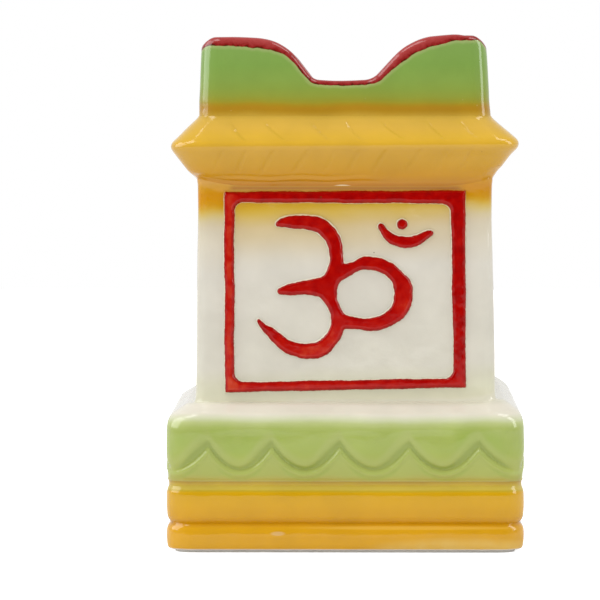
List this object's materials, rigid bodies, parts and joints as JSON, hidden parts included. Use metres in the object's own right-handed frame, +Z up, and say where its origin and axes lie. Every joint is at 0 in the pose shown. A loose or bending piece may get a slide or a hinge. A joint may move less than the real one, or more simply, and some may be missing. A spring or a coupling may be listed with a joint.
{
  "type": "tulsi vrindavan planter",
  "caption": "Square glazed earthenware tulsi vrindavan: moulded plinth, panelled shaft with an Om in relief on its front and back, cornice and horned crown round an open planting well.",
  "frame": {"origin": "centre of the foot, on the surface the planter stands on", "axes": "+Z up the planter; the front face looks along -Y and +X is to its right"},
  "size_m": [0.1204, 0.1204, 0.1733],
  "materials": {
    "amber_glaze": "gloss",
    "green_glaze": "gloss",
    "cream_glaze": "gloss",
    "ochre_glaze": "gloss",
    "leaf_glaze": "gloss",
    "red_glaze": "gloss"
  },
  "bodies": {
    "root": {"plinth_lower_course": "amber_glaze", "plinth_upper_course": "amber_glaze", "plinth_block": "green_glaze", "shaft": "cream_glaze", "cornice": "ochre_glaze", "crown": "leaf_glaze", "front_panel_frame": "red_glaze", "front_om_sign": "red_glaze", "front_om_crescent": "red_glaze", "front_om_dot": "red_glaze", "back_panel_frame": "red_glaze", "back_om_sign": "red_glaze", "back_om_crescent": "red_glaze", "back_om_dot": "red_glaze"}
  },
  "joints": []
}
